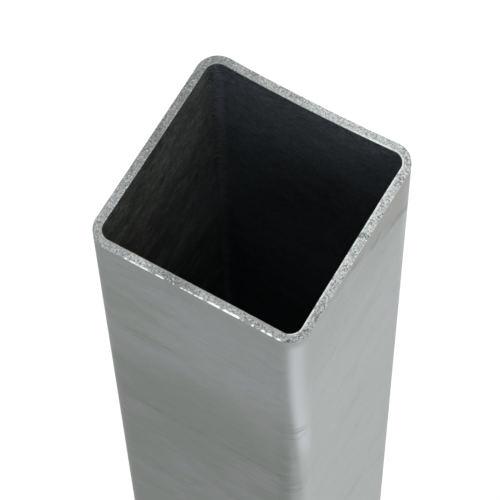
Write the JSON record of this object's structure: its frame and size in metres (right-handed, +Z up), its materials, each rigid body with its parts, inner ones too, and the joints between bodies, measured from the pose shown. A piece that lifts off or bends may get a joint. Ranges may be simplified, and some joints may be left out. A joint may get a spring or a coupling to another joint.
{
  "type": "square metal tube",
  "caption": "Straight square steel tube with rounded corners, even walls and an open bore, cut square at both ends for posts, frames and brackets.",
  "frame": {"origin": "centre of the lower sawn end, on the tube's middle line", "axes": "+Z up along the tube, X and Y square to its flat sides; the trimmed weld track is inside the -Y wall"},
  "size_m": [0.1, 0.1, 1],
  "materials": {
    "galvanised_steel": "dull zinc coat outside, freshly sawn ends, dark mill scale in the bore"
  },
  "bodies": {
    "root": {"square_tube": "galvanised_steel"}
  },
  "joints": []
}
